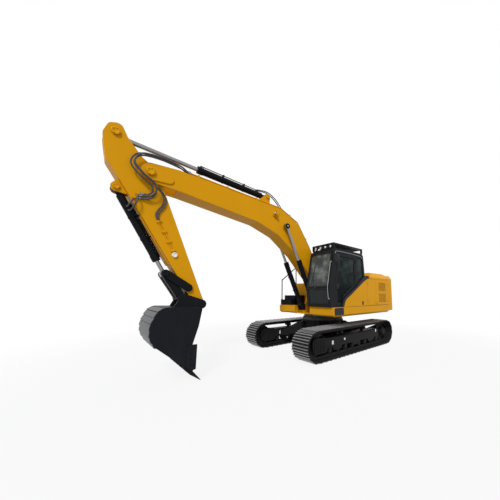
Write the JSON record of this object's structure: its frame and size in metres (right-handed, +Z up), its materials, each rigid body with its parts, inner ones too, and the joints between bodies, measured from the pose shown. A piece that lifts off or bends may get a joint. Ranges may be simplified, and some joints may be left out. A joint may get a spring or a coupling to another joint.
{
  "type": "crawler excavator",
  "caption": "Crawler excavator with slewing upper structure, glazed cab, gooseneck boom, arm and toothed bucket worked by hydraulic cylinders.",
  "frame": {"origin": "on the ground under the slewing axis, midway between the tracks", "axes": "+X forward along the boom at rest, +Y to the machine's left (cab side), +Z up"},
  "size_m": [9.1604, 2.96, 5.0079],
  "materials": {
    "yellow_paint": "satin",
    "dark_paint": "satin",
    "track_steel": "matte",
    "rod_chrome": "polished",
    "tinted_glass": "polished",
    "bucket_steel": "satin",
    "lamp_lens": "polished",
    "hose_rubber": "matte",
    "trim_plastic": "matte"
  },
  "bodies": {
    "undercarriage": {"carbody": "dark_paint", "track_frames": "dark_paint", "track_left": "track_steel", "track_right": "track_steel", "sprockets": "track_steel", "idlers": "track_steel", "rollers": "track_steel", "swing_ring": "track_steel"},
    "upper": {"upper_frame": "yellow_paint", "decks": "yellow_paint", "counterweight": "yellow_paint", "engine": "dark_paint", "bulkhead": "yellow_paint", "left_cover": "yellow_paint", "fuel_tank": "yellow_paint", "hydraulic_tank": "yellow_paint", "tool_box": "dark_paint", "handrails": "dark_paint", "cab_frame": "dark_paint", "cab_roof": "dark_paint", "windshield": "tinted_glass", "cab_glass": "tinted_glass", "roof_guard": "dark_paint", "cab_lights": "lamp_lens", "seat": "trim_plastic", "console": "trim_plastic"},
    "cab_door": {"cab_door": "dark_paint", "door_glass": "tinted_glass"},
    "left_door_front": {"left_door_front": "yellow_paint"},
    "left_door_rear": {"left_door_rear": "yellow_paint"},
    "right_door": {"right_door": "yellow_paint"},
    "hood": {"hood": "yellow_paint"},
    "boom": {"boom": "yellow_paint", "boom_pipes": "dark_paint", "boom_light": "dark_paint", "arm_hoses": "hose_rubber"},
    "boom_barrels": {"boom_cylinder_barrels": "dark_paint"},
    "boom_rods": {"boom_cylinder_rods": "rod_chrome"},
    "arm": {"arm": "yellow_paint"},
    "arm_barrel": {"arm_cylinder_barrel": "dark_paint"},
    "arm_rod": {"arm_cylinder_rod": "rod_chrome"},
    "bucket_barrel": {"bucket_cylinder_barrel": "dark_paint"},
    "bucket_rod": {"bucket_cylinder_rod": "rod_chrome"},
    "idler_links": {"idler_links": "dark_paint"},
    "bucket_link": {"bucket_link": "dark_paint"},
    "bucket": {"bucket": "bucket_steel", "bucket_teeth": "bucket_steel"}
  },
  "joints": [
    {"name": "swing", "type": "hinge", "parent": "undercarriage", "child": "upper", "pos_m": [0, 0, 1.09], "axis": [0, 0, 1], "continuous": true},
    {"name": "cab_door_hinge", "type": "hinge", "parent": "upper", "child": "cab_door", "pos_m": [-0.153, 1.328, 2.2], "axis": [0, 0, 1], "range_deg": [0, 100]},
    {"name": "left_door_front_hinge", "type": "hinge", "parent": "upper", "child": "left_door_front", "pos_m": [-0.788, 1.368, 1.8], "axis": [0, 0, -1], "range_deg": [0, 100]},
    {"name": "left_door_rear_hinge", "type": "hinge", "parent": "upper", "child": "left_door_rear", "pos_m": [-2.266, 1.368, 1.8], "axis": [0, 0, 1], "range_deg": [0, 100]},
    {"name": "right_door_hinge", "type": "hinge", "parent": "upper", "child": "right_door", "pos_m": [-2.266, -1.368, 1.8], "axis": [0, 0, -1], "range_deg": [0, 100]},
    {"name": "hood_hinge", "type": "hinge", "parent": "upper", "child": "hood", "pos_m": [-1.05, 0, 2.302], "axis": [0, 1, 0], "range_deg": [0, 55]},
    {"name": "boom_lift", "type": "hinge", "parent": "upper", "child": "boom", "pos_m": [0.23, 0, 1.875], "axis": [0, -1, 0], "range_deg": [-68, 36]},
    {"name": "boom_barrel_swing", "type": "hinge", "parent": "upper", "child": "boom_barrels", "pos_m": [0.755, 0, 1.4], "axis": [0, -1, 0], "range_deg": [-68.97, 36.98]},
    {"name": "boom_rod_slide", "type": "slide", "parent": "boom_barrels", "child": "boom_rods", "axis": [0.4397, 0, 0.8981], "range_m": [-0.7412, 0.3947]},
    {"name": "arm_crowd", "type": "hinge", "parent": "boom", "child": "arm", "pos_m": [5.45263, 0, 4.20792], "axis": [0, 1, 0], "range_deg": [-95, 5], "deforming": ["arm_hoses"]},
    {"name": "arm_barrel_swing", "type": "hinge", "parent": "boom", "child": "arm_barrel", "pos_m": [2.50002, 0, 4.62933], "axis": [0, 1, 0], "range_deg": [-1.38, 1.02]},
    {"name": "arm_rod_slide", "type": "slide", "parent": "arm_barrel", "child": "arm_rod", "axis": [0.9985, 0, 0.0555], "range_m": [-1.2296, 0.0695]},
    {"name": "bucket_curl", "type": "hinge", "parent": "arm", "child": "bucket", "pos_m": [4.30701, 0, 1.52204], "axis": [0, 1, 0], "range_deg": [-8, 150]},
    {"name": "idler_swing", "type": "hinge", "parent": "arm", "child": "idler_links", "pos_m": [4.59894, 0, 1.88022], "axis": [0, 1, 0], "range_deg": [-7.93, 130.91]},
    {"name": "link_swing", "type": "hinge", "parent": "idler_links", "child": "bucket_link", "pos_m": [5.0487, 0, 2.17], "axis": [0, 1, 0], "range_deg": [-94.39, 5.98]},
    {"name": "bucket_barrel_swing", "type": "hinge", "parent": "arm", "child": "bucket_barrel", "pos_m": [5.9593, 0, 3.77981], "axis": [0, 1, 0], "range_deg": [-4.6, 1.19]},
    {"name": "bucket_rod_slide", "type": "slide", "parent": "bucket_barrel", "child": "bucket_rod", "axis": [-0.4923, 0, -0.8704], "range_m": [-0.0564, 0.9692]}
  ],
  "couplings": [
    {"joint": "boom_barrel_swing", "follows": "boom_lift", "ratio": 0.99954},
    {"joint": "boom_rod_slide", "follows": "boom_lift", "m_per_rad": 0.6203},
    {"joint": "arm_barrel_swing", "follows": "arm_crowd", "ratio": 0.004},
    {"joint": "arm_rod_slide", "follows": "arm_crowd", "m_per_rad": 0.7386},
    {"joint": "idler_swing", "follows": "bucket_curl", "ratio": 0.8661},
    {"joint": "link_swing", "follows": "bucket_curl", "ratio": -0.6226},
    {"joint": "bucket_barrel_swing", "follows": "bucket_curl", "ratio": -0.024},
    {"joint": "bucket_rod_slide", "follows": "bucket_curl", "m_per_rad": 0.3683}
  ]
}
